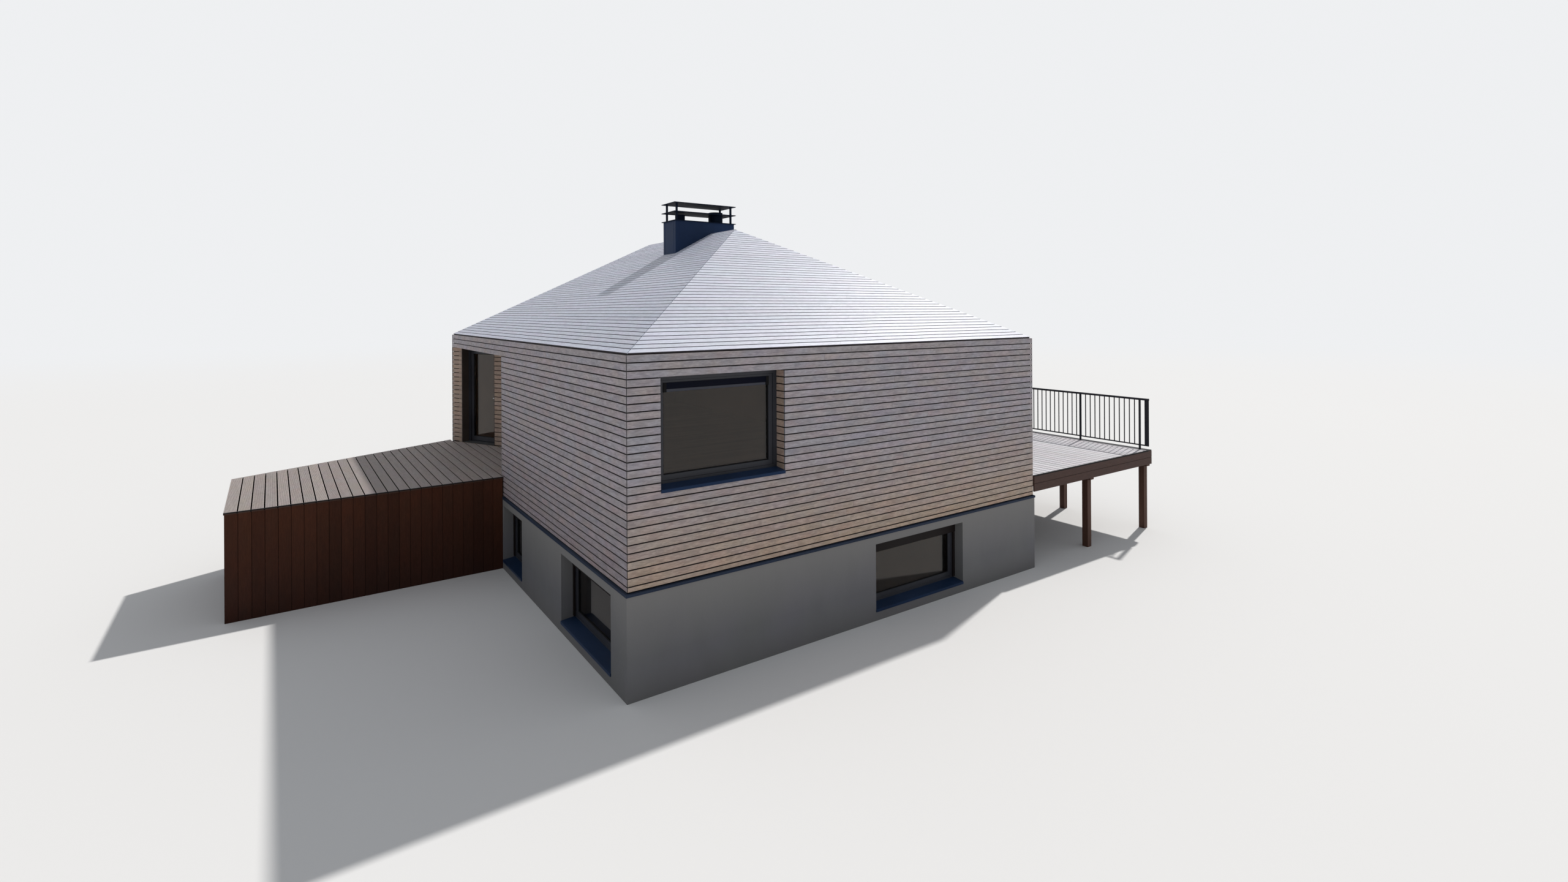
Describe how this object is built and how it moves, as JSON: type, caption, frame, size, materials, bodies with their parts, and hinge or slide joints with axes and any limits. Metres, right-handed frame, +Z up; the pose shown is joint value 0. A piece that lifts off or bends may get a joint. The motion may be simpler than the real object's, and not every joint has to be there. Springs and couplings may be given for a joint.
{
  "type": "beach house",
  "caption": "Timber clad beach house on a masonry storey, with a hipped boarded roof, recessed entrance with hinged glass door, entry deck, raised terrace, railing and chimney.",
  "frame": {"origin": "middle of the bounding box of the whole house with its decks, on the level ground", "axes": "+X runs along the front wall from the near left corner towards the terrace, +Y from the front wall towards the back wall, +Z up"},
  "size_m": [16.05, 14.3187, 6.9086],
  "materials": {
    "masonry": "smooth grey render",
    "window_metal": "satin anthracite",
    "sheet_metal": "satin dark blue grey",
    "glass": "clear, faint bronze tint",
    "floor_timber": "oiled boards",
    "wall_panel": "painted inside, dark membrane outside",
    "wall_timber": "weathered grey brown boards",
    "roof_panel": "dark membrane",
    "roof_timber": "weathered silver grey boards",
    "door_steel": "brushed",
    "chimney_metal": "satin dark blue grey",
    "deck_timber": "weathered boards",
    "dark_timber": "dark stained boards",
    "railing_steel": "satin anthracite"
  },
  "bodies": {
    "house": {"base_floor": "masonry", "base_wall_front": "masonry", "base_wall_right": "masonry", "base_wall_back": "masonry", "base_wall_left": "masonry", "base_window_frames": "window_metal", "base_window_glass": "glass", "window_sills": "sheet_metal", "drip_flashing": "sheet_metal", "floor_slab": "floor_timber", "wall_front": "wall_panel", "wall_right": "wall_panel", "wall_back": "wall_panel", "wall_left": "wall_panel", "recess_side_wall": "wall_panel", "entrance_wall": "wall_panel", "entrance_head": "wall_panel", "recess_header": "wall_panel", "recess_soffit": "wall_timber", "wall_cladding": "wall_timber", "door_lining": "window_metal", "door_frame": "window_metal", "door_hinges": "door_steel", "upper_window_frames": "window_metal", "window_sash": "window_metal", "upper_window_glass": "glass", "roof_front": "roof_panel", "roof_right": "roof_panel", "roof_back": "roof_panel", "roof_left": "roof_panel", "roof_cladding": "roof_timber", "chimney_shaft": "chimney_metal", "chimney_cap": "chimney_metal", "chimney_flues": "chimney_metal", "entry_deck": "deck_timber", "recess_deck": "deck_timber", "entry_skirt": "dark_timber", "terrace_deck": "deck_timber", "terrace_fascia": "dark_timber", "terrace_joists": "dark_timber", "terrace_beams": "dark_timber", "terrace_posts": "dark_timber", "railing": "railing_steel"},
    "entrance_door": {"door_leaf": "window_metal", "leaf_hinges": "door_steel", "door_glass": "glass", "door_handle": "door_steel"}
  },
  "joints": [
    {"name": "entrance_door_hinge", "type": "hinge", "parent": "house", "child": "entrance_door", "pos_m": [-3.5024, 2.944, 1.68], "axis": [0, 0, 1], "range_deg": [0, 90]}
  ]
}
